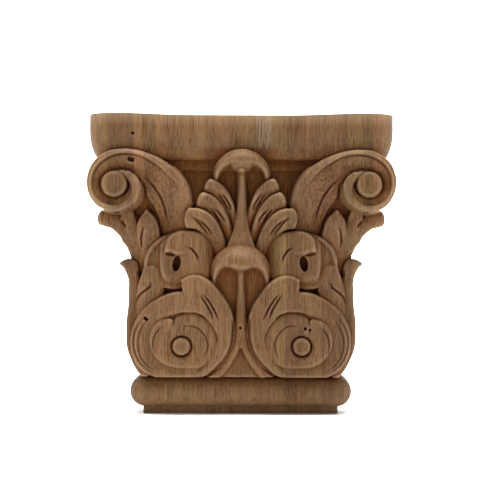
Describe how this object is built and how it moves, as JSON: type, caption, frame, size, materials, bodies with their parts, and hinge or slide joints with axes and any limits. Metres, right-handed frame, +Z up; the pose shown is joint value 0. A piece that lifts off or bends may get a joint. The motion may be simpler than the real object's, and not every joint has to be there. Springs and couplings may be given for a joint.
{
  "type": "carved wood capital onlay",
  "caption": "Half-relief carved wood capital with a flat back, scrolled corner volutes, acanthus leaves, rosettes, a lobed abacus and a rounded astragal.",
  "frame": {"origin": "centre of the flat back face, half way up the height and on the centre line", "axes": "+Z up from the foot to the abacus top, -Y out of the carved front, +Y out of the flat back, X across the width"},
  "size_m": [0.2278, 0.068, 0.225],
  "materials": {
    "carved_wood": "bare mid-brown hardwood with a vertical grain, glued up from staves, unvarnished"
  },
  "bodies": {
    "root": {"capital_onlay": "carved_wood"}
  },
  "joints": []
}
